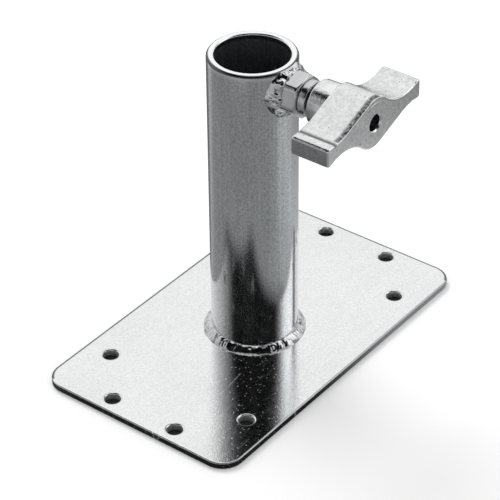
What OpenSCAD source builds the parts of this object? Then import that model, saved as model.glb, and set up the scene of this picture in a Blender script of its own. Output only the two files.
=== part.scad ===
// Wall plate socket: a flat plate with screw holes, a round socket tube welded
// upright on it, and a clamp screw with a cast T-handle near the tube's top.
// Millimetres. The origin is the centre of the plate's back, +Z runs up the
// tube, +X runs along the plate, and the clamp screw leaves the tube along -Y.

/* [Plate] */
// Length of the plate's long side
plate_len = 155; // [130:1:220]
// Width of the plate's short side
plate_wid = 92; // [80:1:140]
// Thickness of the plate
plate_t = 3; // [2.5:0.5:8]
// Radius of the plate's corners
plate_corner_r = 9; // [5:0.5:14]
// Rounding of the plate's edges
plate_edge_r = 0.6; // [0.3:0.1:1]

/* [Screw holes] */
// Diameter of each screw hole
hole_d = 6.2; // [4:0.1:7]
// Radius of the rolled edge that the punch leaves around each hole
hole_roll_r = 0.8; // [0.3:0.1:1]
// Distance from the short edge to the two holes beside its middle
end_hole_margin = 6.7; // [6.5:0.1:12]
// Distance between the two holes beside a short edge
end_hole_gap = 31; // [20:1:40]
// Distance from the short edge to the holes that lie beside the long edges
side_hole_inset = 27.5; // [22:0.5:35]
// Distance from the long edge to the holes beside it
side_hole_margin = 12; // [8:0.5:14]

/* [Socket tube] */
// Outer diameter of the tube
tube_od = 35; // [32:0.5:45]
// Wall thickness of the tube
tube_wall = 3; // [2.5:0.25:5]
// Length of the tube above the plate
tube_len = 127; // [80:1:200]
// Rounding of the rim's outer edge
rim_outer_r = 1.2; // [0.4:0.1:1.4]
// Rounding of the rim's inner edge
rim_inner_r = 0.9; // [0.4:0.1:1]

/* [Weld beads] */
// Reach of the foot weld over the plate and up the tube
foot_weld_leg = 3.2; // [2:0.1:5]
// Reach of the nut weld past the nut's corners
nut_weld_leg = 1.5; // [0.8:0.1:2.5]
// Number of ripples around the foot weld
foot_ripples = 28; // [12:4:36]
// Number of ripples around the nut weld
nut_ripples = 20; // [8:2:30]
// Height of a ripple as a share of the bead's reach
ripple_share = 0.04; // [0:0.01:0.1]

/* [Clamp screw] */
// Depth of the screw's axis below the top of the tube
screw_drop = 10; // [10:0.5:40]
// Diameter of the screw over its thread
screw_d = 10; // [8:0.5:12]
// Clearance all round the screw in its nut and in the handle
screw_clearance = 0.05; // [0.02:0.01:0.1]
// Clearance all round the screw in the tube's wall
wall_hole_clearance = 0.3; // [0.1:0.1:0.6]
// Distance that the screw's tip lies behind the bore's wall
tip_setback = 0.2; // [0.1:0.1:1]
// Width of the nut across its flats
nut_af = 16; // [15:0.5:18]
// Height of the nut
nut_h = 8; // [6:0.5:12]
// Turn of the nut about the screw
nut_turn = 17; // [0:1:59]
// Outer diameter of the spacer ring between nut and handle
ring_od = 14.4; // [13.5:0.1:15]
// Height of the spacer ring
ring_h = 3.4; // [2:0.2:6]
// Gap between the spacer ring and the handle's boss
handle_gap = 2; // [2:0.1:6]

/* [Handle] */
// Length of the handle from tip to tip
handle_span = 58.6; // [45:0.2:80]
// Depth of the casting along the screw
handle_depth = 16.8; // [12:0.2:24]
// Radius of the hub at the handle's middle
hub_r = 10.45; // [10.3:0.05:12]
// Half the height of each arm where it is thinnest
arm_half_h = 3.1; // [2.2:0.1:4]
// Radius of the hollow that blends the hub into the flared side of an arm
flare_r = 19.2; // [15:0.2:22]
// Slope of the straight side of an arm
flank_slope = 21; // [18:1:26]
// Rounding of the casting's edges
cast_edge_r = 1; // [0.6:0.1:1.1]
// Radius of the boss on the handle's back
boss_r = 9.1; // [8:0.1:9.2]
// Height of the boss
boss_h = 8.3; // [4:0.1:12]
// Depth of the screw's seat in the handle
seat_depth = 19; // [12:0.5:20]
// Diameter of the hole in the middle of the handle's face
face_hole_d = 6.6; // [4:0.1:7]

/* [Hidden] */
$fn = 96;
edge_steps = 5;

// The tube and its bore
tube_r = tube_od / 2;
bore_r = tube_r - tube_wall;
tube_top = plate_t + tube_len;

// Heights and stations of the clamp screw, counted outward from the tube's axis
screw_z = tube_top - screw_drop;
screw_r = screw_d / 2;
seat_r = screw_r + screw_clearance;
touch = 0.05;
tip_at = bore_r + tip_setback;
nut_at = tube_r + touch;
ring_at = nut_at + nut_h;
boss_at = ring_at + ring_h + handle_gap;
cast_at = boss_at + boss_h;
face_at = cast_at + handle_depth;
seat_end = boss_at + seat_depth;
stud_end = seat_end - touch;
over = 1;

// Standard nuts have their corners bevelled at 30 degrees
nut_corner_r = nut_af / 2 / cos(30);
nut_face_share = 0.95;
nut_face_r = nut_face_share * nut_af / 2;
nut_turned_r = nut_corner_r + over;
nut_bevel_h = (nut_turned_r - nut_face_r) * tan(30);
tip_bevel = 1.2;
ring_round = 0.7;
boss_round = 0.8;
boss_draft = 0.1;
face_bevel = 0.5;

// Weld beads: the angles where the welder stopped and started again, how much that
// swells the bead, and the power that makes a section full (1 is round, 2 is flat)
foot_restarts = [52, 137, 171, 244, 318];
nut_restarts = [20, 75, 140, 178, 235, 300];
restart_swell = 0.22;
restart_width = 5;
bead_steps = 144;
bead_arc_steps = 5;
bead_root_steps = 3;
foot_bead_power = 1.5;
nut_bead_power = 1.2;
nut_weld_climb = 2;
nut_weld_below_rim = 0.3;
bead_seat = 0.02;

// Handle outline: the centres of its arcs and the angles where they meet. The flare
// is tangent to the hub and to the tip's corner, the straight side to hub and blend.
flank_blend_r = 20;
tip_corner_r = cast_edge_r + 0.4;
outline_steps = 36;
flare_z = arm_half_h + flare_r;
flare_x = sqrt(pow(hub_r + flare_r, 2) - pow(flare_z, 2));
flare_c = [flare_x, flare_z];
corner_x = handle_span / 2 - tip_corner_r;
flared_c = [corner_x, flare_z - sqrt(pow(flare_r + tip_corner_r, 2) - pow(corner_x - flare_x, 2))];
flared_turn = atan2(flare_c[1] - flared_c[1], flare_c[0] - flared_c[0]);
flank_foot_x = (hub_r - arm_half_h * cos(flank_slope)) / sin(flank_slope);
blend_c = [-flank_foot_x - flank_blend_r * tan(flank_slope / 2), arm_half_h + flank_blend_r];
plain_c = [-corner_x, arm_half_h - tip_corner_r];

// Points on an arc of radius r about c, from angle a to angle b in n steps
function arc(c, r, a, b, n = edge_steps) =
    [for (i = [0:n]) let (t = a + (b - a) * i / n) c + r * [cos(t), sin(t)]];

// The same points without the last one, where the next stretch starts on it
function open(points) = [for (i = [0:len(points) - 2]) points[i]];

// Swell of a bead at angle a: ripples all round and a lump at each restart
function gap_to(a, b) = let (d = abs(a - b) % 360) min(d, 360 - d);
function lump(a, b) = exp(-pow(gap_to(a, b) / restart_width, 2));
function total(v, i = 0) = i < len(v) ? v[i] + total(v, i + 1) : 0;
function swell(a, ripples, restarts) =
    1 + ripple_share * sin(ripples * a) + restart_swell * total([for (b = restarts) lump(a, b)]);

// A closed band skinned over a ring of equal sections
module skin(sections) {
    n = len(sections);
    m = len(sections[0]);
    corner = function(i, j) (i % n) * m + j % m;
    polyhedron(
        points = [for (s = sections) each s],
        faces = [for (i = [0:n - 1], j = [0:m - 1]) each [
            [corner(i, j), corner(i + 1, j), corner(i + 1, j + 1)],
            [corner(i, j), corner(i + 1, j + 1), corner(i, j + 1)]]]);
}

// Stands its children on the screw's axis, their +Z pointing outward to the handle
module on_screw(station = 0) {
    translate([0, -station, screw_z]) rotate([90, 0, 0]) children();
}

// Rounded edge of the plate: the section of its border, w wide
function border(w) = concat(
    [[0, 0]],
    arc([w - plate_edge_r, plate_edge_r], plate_edge_r, -90, 0),
    arc([w - plate_edge_r, plate_t - plate_edge_r], plate_edge_r, 0, 90),
    [[0, plate_t]]);

module plate_blank() {
    core_len = plate_len - 2 * plate_corner_r;
    core_wid = plate_wid - 2 * plate_corner_r;
    translate([-core_len / 2, -core_wid / 2, 0]) cube([core_len, core_wid, plate_t]);
    for (side = [[0, core_len, core_wid], [90, core_wid, core_len], [180, core_len, core_wid],
                 [270, core_wid, core_len]])
        rotate(side[0]) translate([-side[1] / 2, side[2] / 2, 0])
            rotate([90, 0, 90]) linear_extrude(side[1]) polygon(border(plate_corner_r));
    for (x = [-1, 1], y = [-1, 1])
        translate([x * core_len / 2, y * core_wid / 2, 0])
            rotate_extrude() polygon(border(plate_corner_r));
}

// A punched hole: straight through, with its upper edge rolled over
module screw_hole() {
    r = hole_d / 2;
    translate([0, 0, -over]) cylinder(r = r, h = plate_t + 2 * over);
    translate([0, 0, plate_t]) rotate_extrude() polygon(concat(
        [[0, -hole_roll_r]],
        arc([r + hole_roll_r, -hole_roll_r], hole_roll_r, 180, 90),
        [[r + hole_roll_r, over], [0, over]]));
}

module hole_places() {
    for (x = [-1, 1], y = [-1, 1]) {
        translate([x * (plate_len / 2 - end_hole_margin), y * end_hole_gap / 2, 0]) children();
        translate([x * (plate_len / 2 - side_hole_inset), y * (plate_wid / 2 - side_hole_margin), 0])
            children();
    }
}

module base_plate() {
    color("gainsboro") difference() {
        plate_blank();
        hole_places() screw_hole();
    }
}

// The tube's wall, whole: a straight section with both edges of the rim rounded
module tube_blank() {
    rotate_extrude() polygon(concat(
        [[bore_r, plate_t], [tube_r, plate_t]],
        arc([tube_r - rim_outer_r, tube_top - rim_outer_r], rim_outer_r, 0, 90),
        arc([bore_r + rim_inner_r, tube_top - rim_inner_r], rim_inner_r, 90, 180)));
}

module socket_tube() {
    color("silver") difference() {
        tube_blank();
        on_screw() cylinder(r = screw_r + wall_hole_clearance, h = tube_r + over);
    }
}

// Outer side of a bead's section, from its toe out on the base up to its toe on the wall
function bead_side(toe, top, power) = [for (i = [0:bead_arc_steps]) let (t = 90 * i / bead_arc_steps)
    [top[0] + (toe[0] - top[0]) * pow(cos(t), power), toe[1] + (top[1] - toe[1]) * pow(sin(t), power)]];

// Turns a flat section of [distance, height] points to angle a about the bead's axis
function turned(a, section) = [for (p = section) [p[0] * cos(a), p[0] * sin(a), p[1]]];

// Fillet weld around the tube's foot, its inner side held just clear of the round wall
function foot_section(a) =
    let (leg = foot_weld_leg * swell(a, foot_ripples, foot_restarts),
         root = tube_r / cos(180 / bead_steps) + bead_seat)
    turned(a, concat([[root, plate_t]],
                     bead_side([root + leg, plate_t], [root, plate_t + leg], foot_bead_power)));

module foot_weld() {
    color("darkgray") skin([for (i = [0:bead_steps - 1]) foot_section(360 * i / bead_steps)]);
}

module nut_blank() {
    on_screw(nut_at) intersection() {
        rotate(nut_turn) cylinder(r = nut_corner_r, h = nut_h, $fn = 6);
        rotate_extrude() polygon([
            [0, 0], [nut_face_r, 0], [nut_turned_r, nut_bevel_h], [nut_turned_r, nut_h - nut_bevel_h],
            [nut_face_r, nut_h], [0, nut_h]]);
    }
}

module clamp_nut() {
    color("lightgray") difference() {
        nut_blank();
        on_screw(nut_at - over) cylinder(r = seat_r, h = nut_h + 2 * over);
    }
}

// Weld around the nut's root. At angle a about the screw its section runs out along the
// tube's round wall, which falls away near the rim, and then up to the nut's flat side.
function wall_r(y) =
    let (past = max(0, y - screw_drop + rim_outer_r))
    tube_r - rim_outer_r + sqrt(pow(rim_outer_r, 2) - pow(past, 2));
function wall_at(rho, a) = sqrt(pow(wall_r(rho * sin(a)), 2) - pow(rho * cos(a), 2)) + bead_seat;
function flat_at(a) = nut_af / 2 / cos((a - nut_turn) % 60 - 30) + bead_seat;
function nut_bead_reach(a) =
    let (free = nut_corner_r + nut_weld_leg * swell(a, nut_ripples, nut_restarts))
    sin(a) > 0 ? min(free, (screw_drop - nut_weld_below_rim) / sin(a)) : free;
function nut_section(a) =
    let (root = flat_at(a),
         reach = nut_bead_reach(a),
         top = nut_at + nut_weld_climb * swell(a, nut_ripples, nut_restarts))
    turned(a, concat(
        [for (i = [0:bead_root_steps - 1]) let (rho = root + (reach - root) * i / bead_root_steps)
            [rho, wall_at(rho, a)]],
        bead_side([reach, wall_at(reach, a)], [root, top], nut_bead_power)));

module nut_weld() {
    color("darkgray") on_screw()
        skin([for (i = [0:bead_steps - 1]) nut_section(nut_turn + 360 * i / bead_steps)]);
}

// Loose ring on the screw, its outside rounded towards both faces
module spacer_ring() {
    r = ring_od / 2;
    color("silver") on_screw(ring_at) rotate_extrude() polygon(concat(
        [[seat_r, 0]],
        arc([r - ring_round, ring_round], ring_round, -90, 0),
        arc([r - ring_round, ring_h - ring_round], ring_round, 0, 90),
        [[seat_r, ring_h]]));
}

module clamp_stud() {
    length = stud_end - tip_at;
    color("darkgray") on_screw(tip_at) rotate_extrude() polygon([
        [0, 0], [screw_r - tip_bevel, 0], [screw_r, tip_bevel], [screw_r, length - tip_bevel],
        [screw_r - tip_bevel, length], [0, length]]);
}

// Height of the casting's upper side at x, drawn in by d: flare, hub, straight side,
// blend and plain arm, from right to left. The lower side is the same, turned round.
function upper_side(x, d) =
    let (hub = hub_r - d, flare = flare_r + d, blend = flank_blend_r + d)
    x > flare_x * hub / (hub_r + flare_r) ? flare_z - sqrt(pow(flare, 2) - pow(x - flare_x, 2)) :
    x > -hub * sin(flank_slope) ? sqrt(pow(hub, 2) - pow(x, 2)) :
    x > blend_c[0] + blend * sin(flank_slope) ? (hub + x * sin(flank_slope)) / cos(flank_slope) :
    x > blend_c[0] ? blend_c[1] - sqrt(pow(blend, 2) - pow(x - blend_c[0], 2)) :
    arm_half_h - d;

// Ring of the casting's outline at height z, drawn in by d, with rounded tip corners
function cast_half(d) =
    let (corner = tip_corner_r - d, start = corner_x + corner * cos(flared_turn))
    concat(open(arc(flared_c, corner, 0, flared_turn, edge_steps + 1)),
           [for (i = [0:outline_steps]) let (x = start * (1 - 2 * i / outline_steps)) [x, upper_side(x, d)]],
           arc(plain_c, corner, 90, 180));
function cast_ring(d, z) = [for (p = concat(cast_half(d), -cast_half(d))) [p[0], p[1], z]];

// Skin over a stack of rings, each end closed by strips from its upper to its lower side
module loft(rings) {
    n = len(rings);
    m = len(rings[0]);
    top = (n - 1) * m;
    polyhedron(
        points = [for (r = rings) each r],
        faces = concat(
            [for (j = [0:m / 2 - 2]) each [[j, j + 1, m - 1 - j], [j + 1, m - 2 - j, m - 1 - j]]],
            [for (j = [0:m / 2 - 2]) each [
                [top + j, top + m - 1 - j, top + j + 1],
                [top + j + 1, top + m - 1 - j, top + m - 2 - j]]],
            [for (i = [0:n - 2], j = [0:m - 1]) let (k = (j + 1) % m) each [
                [i * m + j, i * m + m + k, i * m + k],
                [i * m + j, i * m + m + j, i * m + m + k]]]));
}

// The casting's body, its front and back edges rounded by drawing the outline in
module cast_body() {
    loft([for (q = concat(arc([0, cast_edge_r], cast_edge_r, -90, 0),
                          arc([0, handle_depth - cast_edge_r], cast_edge_r, 0, 90)))
        cast_ring(cast_edge_r - q[0], q[1])]);
}

// The handle's boss, whole
module boss_blank() {
    rotate_extrude() polygon([
        [0, 0], [boss_r - boss_round, 0], [boss_r, boss_round],
        [boss_r + boss_draft, boss_h + over], [0, boss_h + over]]);
}

// The screw's seat from the boss inward, and the narrower hole on to the bevelled face
module handle_bore() {
    hole_r = face_hole_d / 2;
    depth = boss_h + handle_depth;
    rotate_extrude() polygon([
        [0, -over], [seat_r, -over], [seat_r, seat_depth], [hole_r, seat_depth],
        [hole_r, depth - face_bevel], [hole_r + face_bevel + over, depth + over], [0, depth + over]]);
}

module t_handle() {
    color("whitesmoke") on_screw(boss_at) difference() {
        union() {
            translate([0, 0, boss_h]) cast_body();
            boss_blank();
        }
        handle_bore();
    }
}

base_plate();
socket_tube();
foot_weld();
clamp_nut();
nut_weld();
spacer_ring();
clamp_stud();
t_handle();
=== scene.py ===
"""Finished look of a wall plate socket: a satin plate with punched holes, a drawn tube welded
upright on it, and a clamp screw with a cast T-handle, in a plain pale studio."""

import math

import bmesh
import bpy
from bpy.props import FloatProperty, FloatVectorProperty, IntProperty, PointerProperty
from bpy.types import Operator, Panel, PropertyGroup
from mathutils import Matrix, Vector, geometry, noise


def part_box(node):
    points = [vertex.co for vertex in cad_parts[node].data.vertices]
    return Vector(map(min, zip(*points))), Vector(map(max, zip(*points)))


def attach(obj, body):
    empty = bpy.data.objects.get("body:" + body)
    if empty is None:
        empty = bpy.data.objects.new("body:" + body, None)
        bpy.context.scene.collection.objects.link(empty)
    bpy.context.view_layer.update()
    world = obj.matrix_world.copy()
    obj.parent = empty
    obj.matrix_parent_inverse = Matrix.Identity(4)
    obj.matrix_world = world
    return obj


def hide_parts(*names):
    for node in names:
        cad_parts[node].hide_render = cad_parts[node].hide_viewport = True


bl_info = {
    "name": "Wall plate socket",
    "version": (1, 0, 0),
    "blender": (4, 5, 0),
    "location": "3D View > Sidebar > Plate Socket",
    "description": "Builds the finished look of a wall plate socket on its packed model",
    "category": "Object",
}

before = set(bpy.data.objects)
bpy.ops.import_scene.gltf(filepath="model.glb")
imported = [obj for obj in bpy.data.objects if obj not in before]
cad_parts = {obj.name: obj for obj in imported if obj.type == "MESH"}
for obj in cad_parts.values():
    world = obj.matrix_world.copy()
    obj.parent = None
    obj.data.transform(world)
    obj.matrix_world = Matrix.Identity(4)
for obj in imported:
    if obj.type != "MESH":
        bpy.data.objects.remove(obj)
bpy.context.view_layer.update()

MM = 0.001
_, PLATE_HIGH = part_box("base_plate")
_, TUBE_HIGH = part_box("socket_tube")
NUT_LOW, NUT_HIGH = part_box("clamp_nut")
RING_LOW, RING_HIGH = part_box("spacer_ring")
STUD_LOW, STUD_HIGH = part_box("clamp_stud")
HANDLE_LOW, HANDLE_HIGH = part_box("t_handle")
PLATE_TOP = PLATE_HIGH[2]
TUBE_RADIUS = TUBE_HIGH[0]
TUBE_TOP = TUBE_HIGH[2]
SCREW_HEIGHT = (STUD_LOW[2] + STUD_HIGH[2]) / 2
STUD_RADIUS = STUD_HIGH[0]
WHITE = (1.0, 1.0, 1.0, 1.0)

# Gap between a bead and the wall that it lies on.
WELD_CLEARANCE = 0.02 * MM
# Points closer than this are joined, and the flat fills take edges as meeting within the tolerance.
SEAM, FILL_TOLERANCE = 0.002 * MM, 1e-9
# Flat margin round each rolled hole rim, and the corners of the circle where rim and sheet meet.
RIM_MARGIN, RIM_STEPS = 0.2 * MM, 64
# The handle's furrow: its distance from the arm's tip, its width and its depth.
FURROW_INSET, FURROW_WIDTH, FURROW_DEPTH = 4.9 * MM, 0.8 * MM, 0.32 * MM
# Turn about the tube at which the clamp screw leaves it.
SCREW_TURN = 1.5 * math.pi
# Level direction from the part to the camera; the painted shade on the plate's edges and on the grey card
# follows it.
TOWARDS_CAMERA = (-0.791, -0.612, 0.0)


# ---------------------------------------------------------------- sizes and colours

def length(name, description, default):
    """A size in metres, shown in the scene's own length unit."""
    return FloatProperty(name=name, description=description, default=default, min=0.0, unit="LENGTH",
                         precision=5)


def colour(name, description, default):
    """A base colour."""
    return FloatVectorProperty(name=name, description=description, default=default, size=3, min=0.0,
                               max=1.0, subtype="COLOR")


class PlateSettings(PropertyGroup):
    """Sizes and colour of the flat plate."""

    corner_radius: length("Corner radius", "Radius of the plate's four corners", 9 * MM)
    edge_radius: length("Edge rounding", "Rounding along the plate's edges", 0.6 * MM)
    hole_radius: length("Hole radius", "Radius of each screw hole", 3.1 * MM)
    hole_roll: length("Rolled rim", "Radius of the rolled rim that the punch leaves", 0.8 * MM)
    end_reach: length("End hole reach", "Distance from the middle to the holes by the short edges",
                      70.8 * MM)
    end_side: length("End hole side", "Distance from the long axis to those holes", 15.5 * MM)
    side_reach: length("Side hole reach", "Distance from the middle to the holes by the long edges",
                       50 * MM)
    side_side: length("Side hole side", "Distance from the long axis to those holes", 34 * MM)
    base: colour("Plate steel", "Colour of the satin plate", (0.93, 0.94, 0.94))


class TubeSettings(PropertyGroup):
    """Sizes and colour of the socket tube."""

    wall: length("Wall", "Thickness of the tube's wall", 3 * MM)
    rim_outer: length("Rim outside", "Rounding of the rim's outer edge", 1.2 * MM)
    rim_inner: length("Rim inside", "Rounding of the rim's inner edge", 0.9 * MM)
    screw_hole: length("Screw hole", "Radius of the hole that the clamp screw passes", 5.3 * MM)
    base: colour("Tube steel", "Colour of the drawn tube", (0.91, 0.93, 0.94))


class WeldSettings(PropertyGroup):
    """Sizes and colour of the two weld beads."""

    foot_leg: length("Foot bead", "Reach of the bead at the tube's foot", 3.2 * MM)
    nut_leg: length("Nut bead", "Reach of the bead past the nut's corners", 1.5 * MM)
    nut_climb: length("Nut bead height", "Height of the bead up the nut's sides", 2 * MM)
    ripple: FloatProperty(name="Ripple", description="Height of the ripples as a share of the bead",
                          default=0.015, min=0.0, max=0.2)
    base: colour("Weld metal", "Colour of the plated beads", (0.74, 0.75, 0.76))


class HardwareSettings(PropertyGroup):
    """Sizes and colours of the nut, the ring and the screw."""

    nut_flats: length("Nut across flats", "Width of the nut across its flats", 16 * MM)
    nut_turn: FloatProperty(name="Nut turn", description="Turn of the nut about the screw",
                            default=math.radians(17), subtype="ANGLE")
    seat_radius: length("Bore radius", "Radius of the nut's and ring's bores", 5.05 * MM)
    ring_round: length("Ring rounding", "Rounding of the ring's edges", 0.7 * MM)
    thread_pitch: length("Thread pitch", "Distance from one turn of the thread to the next", 1.5 * MM)
    thread_depth: length("Thread depth", "Depth of the thread's groove", 0.85 * MM)
    base: colour("Bright plating", "Colour of the nut and the ring", (0.68, 0.69, 0.70))
    screw_base: colour("Screw steel", "Colour of the threaded stud", (0.42, 0.43, 0.44))


class HandleSettings(PropertyGroup):
    """Sizes and colour of the cast T-handle."""

    hub_radius: length("Hub radius", "Radius of the hub in the middle", 10.45 * MM)
    arm_half: length("Arm half height", "Half the height of an arm where it is thinnest", 3.1 * MM)
    flare_radius: length("Flare radius", "Radius of the hollow on the flared side", 19.2 * MM)
    slope: FloatProperty(name="Slope", description="Slope of the straight side", default=math.radians(21),
                         subtype="ANGLE")
    edge_radius: length("Edge rounding", "Rounding of the casting's edges", 1.0 * MM)
    boss_radius: length("Boss radius", "Radius of the boss on the back", 9.1 * MM)
    boss_height: length("Boss height", "Height of the boss on the back", 8.3 * MM)
    hole_radius: length("Face hole", "Radius of the hole in the face", 3.3 * MM)
    pad_radius: length("Pad radius", "Radius of the low pad round the face hole", 8.4 * MM)
    pad_height: length("Pad height", "Height of the low pad", 0.1 * MM)
    base: colour("Cast metal", "Colour of the plated casting", (0.92, 0.93, 0.93))


class StageSettings(PropertyGroup):
    """Floor, light and camera."""

    floor: colour("Floor", "Colour of the plain floor", (0.86, 0.86, 0.86))
    world: FloatProperty(name="World", description="Strength of the light from all round", default=0.75,
                         min=0.0)
    key: FloatProperty(name="Key lamp", description="Power of the large lamp above", default=9.0, min=0.0,
                       unit="POWER")
    focal: FloatProperty(name="Focal length", description="Focal length of the camera", default=163.04,
                         unit="CAMERA")
    floor_size: IntProperty(name="Floor size", description="Size of the floor in metres", default=12, min=2)


class SocketSettings(PropertyGroup):
    """All settings of the plate socket."""

    plate: PointerProperty(type=PlateSettings)
    tube: PointerProperty(type=TubeSettings)
    weld: PointerProperty(type=WeldSettings)
    hardware: PointerProperty(type=HardwareSettings)
    handle: PointerProperty(type=HandleSettings)
    stage: PointerProperty(type=StageSettings)


# ---------------------------------------------------------------- mesh work

def arc(centre, radius, start, end, steps):
    """Points on an arc about centre, from angle start to angle end in degrees."""
    turns = [math.radians(start + (end - start) * i / steps) for i in range(steps + 1)]
    return [(centre[0] + radius * math.cos(t), centre[1] + radius * math.sin(t)) for t in turns]


def smoothstep(low, high, x):
    """0 below low, 1 above high and an even change between them."""
    t = min(1.0, max(0.0, (x - low) / (high - low)))
    return t * t * (3 - 2 * t)


def polar(radius, turn, height):
    """The point at a distance from the Z axis, a turn in radians and a height."""
    return (radius * math.cos(turn), radius * math.sin(turn), height)


def on_screw(point, station):
    """Stands a point on the screw's axis: its Z becomes the distance outward from the tube."""
    x, y, z = point
    return (x, -z - station, y + SCREW_HEIGHT)


def new_object(name, data):
    """Links a mesh, lamp or camera into the scene as an object at the origin."""
    piece = bpy.data.objects.new(name, data)
    bpy.context.scene.collection.objects.link(piece)
    return piece


def write_mesh(work, mesh):
    """Writes a bmesh to a mesh, shaded smooth."""
    work.to_mesh(mesh)
    work.free()
    mesh.shade_smooth()
    return mesh


def tidy_mesh(work, name, merge=0.001 * MM, recalculate=True):
    """Turns a bmesh into a smooth mesh with its seams closed and its faces outward."""
    if merge:
        bmesh.ops.remove_doubles(work, verts=work.verts, dist=merge)
    if recalculate:
        bmesh.ops.recalc_face_normals(work, faces=work.faces)
    return write_mesh(work, bpy.data.meshes.new(name))


def add_rings(work, rings, close=False):
    """Skins a stack of rings that have the same number of points, and returns their vertices."""
    made = [[work.verts.new(p) for p in ring] for ring in rings]
    pairs = list(zip(made, made[1:]))
    if close:
        pairs.append((made[-1], made[0]))
    for low, high in pairs:
        for i in range(len(low)):
            k = (i + 1) % len(low)
            work.faces.new((low[i], low[k], high[k], high[i]))
    return made


def ring_solid(name, rings, sharp=None):
    """A closed solid skinned over rings of points, sharp where faces turn by more than an angle."""
    work = bmesh.new()
    add_rings(work, rings, close=True)
    mesh = tidy_mesh(work, name)
    if sharp:
        mesh.set_sharp_from_angle(angle=math.radians(sharp))
    return mesh


def fill(work, points, edges, place, keep):
    """Fills what a set of edges encloses, with the faces whose middle passes the keep test."""
    found, _, faces, _, _, _ = geometry.delaunay_2d_cdt(points, edges, [], 1, FILL_TOLERANCE)
    made = [work.verts.new(place(p)) for p in found]
    for face in faces:
        if keep(sum((found[i] for i in face), Vector((0, 0))) / len(face)):
            work.faces.new([made[i] for i in face])


def add_flat(work, outline, holes, height):
    """Fills the flat region between an outline and round holes (x, y, radius, steps)."""
    points = [Vector(p) for p in outline]
    edges = [(i, (i + 1) % len(points)) for i in range(len(points))]
    for x, y, radius, steps in holes:
        first = len(points)
        points += [Vector(p) for p in arc((x, y), radius, 0, 360, steps)[:-1]]
        edges += [(first + i, first + (i + 1) % steps) for i in range(steps)]
    fill(work, points, edges, lambda p: (p[0], p[1], height),
         lambda middle: all(math.hypot(middle[0] - x, middle[1] - y) > radius * math.cos(math.pi / steps)
                            for x, y, radius, steps in holes))


def lathe_rings(profile, steps, start=0.0):
    """Turns a [distance, height] profile about Z, one ring for each of its points."""
    turns = [2 * math.pi * (i + start) / steps for i in range(steps)]
    return [[polar(r, t, z) for t in turns] for r, z in profile]


def screw_rings(profile, steps, station, start=0.0):
    """Turns a profile about the screw's axis, from a station on it outward."""
    return [[on_screw(point, station) for point in ring] for ring in lathe_rings(profile, steps, start)]


def settle(piece):
    """Gives a piece the plain mesh that its modifiers make, and takes the modifiers away."""
    evaluated = piece.evaluated_get(bpy.context.evaluated_depsgraph_get())
    mesh = bpy.data.meshes.new_from_object(evaluated)
    mesh.name = piece.name
    piece.modifiers.clear()
    piece.data = mesh
    return mesh


def finish_piece(piece, body, slot, material, *nodes):
    """Gives a finished piece its material and its body, and hides the CAD nodes that it stands for."""
    piece.data.materials.clear()
    piece.data.materials.append(material)
    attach(piece, body)
    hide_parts(*nodes)


def mark(mesh, name, values):
    """Stores one number for each vertex, for a material to read."""
    mesh.attributes.new(name, "FLOAT", "POINT").data.foreach_set("value", values)


# ---------------------------------------------------------------- node work

def join(tree, source, target):
    """Links an output to an input."""
    tree.links.new(source, target)


def add_node(tree, kind, inputs=None, **settings):
    """Adds a node, makes its own settings, and links its inputs or sets their plain values."""
    made = tree.nodes.new(kind)
    for key, value in settings.items():
        setattr(made, key, value)
    for key, value in (inputs or {}).items():
        if isinstance(value, bpy.types.NodeSocket):
            join(tree, value, made.inputs[key])
        else:
            made.inputs[key].default_value = value
    return made


def math_node(tree, operation, *values):
    """A Math node on sockets or plain numbers."""
    return add_node(tree, "ShaderNodeMath", dict(enumerate(values)), operation=operation).outputs[0]


def times(tree, first, second):
    """The product of two sockets or numbers."""
    return math_node(tree, "MULTIPLY", first, second)


def times_plus(tree, first, second, third):
    """The product of the first two sockets or numbers, plus the third."""
    return math_node(tree, "MULTIPLY_ADD", first, second, third)


def minus(tree, first, second):
    """The difference of two sockets or numbers."""
    return math_node(tree, "SUBTRACT", first, second)


def along(tree, vector, direction):
    """How far a vector socket reaches along a fixed direction."""
    return add_node(tree, "ShaderNodeVectorMath", {0: vector, 1: direction},
                    operation="DOT_PRODUCT").outputs["Value"]


def raised(tree, value, *layers):
    """A value raised by each (mask, amount) in turn; a minus amount lowers it."""
    for mask, amount in layers:
        value = times_plus(tree, mask, amount, value)
    return value


def vertex_mark(tree, name):
    """Reads the number that a mesh stores for each vertex under a name."""
    return add_node(tree, "ShaderNodeAttribute", attribute_name=name).outputs["Fac"]


def ramp(tree, source, low, high, low_value=0.0, high_value=1.0):
    """Maps low..high to low_value..high_value, clamped, with a smooth change."""
    inputs = {"Value": source, "From Min": low, "From Max": high, "To Min": low_value, "To Max": high_value}
    return add_node(tree, "ShaderNodeMapRange", inputs, interpolation_type="SMOOTHSTEP").outputs["Result"]


def blend_colours(tree, factor, first, second, mode="MIX"):
    """Mixes two colours or colour sockets by a factor socket or number."""
    first, second = (colour if isinstance(colour, bpy.types.NodeSocket) else (*colour, 1.0)
                     for colour in (first, second))
    return add_node(tree, "ShaderNodeMix", {0: factor, 6: first, 7: second}, data_type="RGBA",
                    blend_type=mode).outputs[2]


def noise_node(tree, vector, scale, detail=2.0, roughness=0.5):
    """A noise pattern on the given coordinates."""
    return add_node(tree, "ShaderNodeTexNoise", {"Vector": vector, "Scale": scale, "Detail": detail,
                                                 "Roughness": roughness}).outputs["Fac"]


def new_tree(name, kind, inputs, outputs):
    """An empty node group with sockets of (label, kind, default): returns it with its end nodes."""
    tree = bpy.data.node_groups.new(name, kind)
    for way, sockets in (("INPUT", inputs), ("OUTPUT", outputs)):
        for label, holds, *default in sockets:
            socket = tree.interface.new_socket(name=label, in_out=way, socket_type="NodeSocket" + holds)
            if default:
                socket.default_value = default[0]
    return tree, tree.nodes.new("NodeGroupInput"), tree.nodes.new("NodeGroupOutput")


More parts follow.
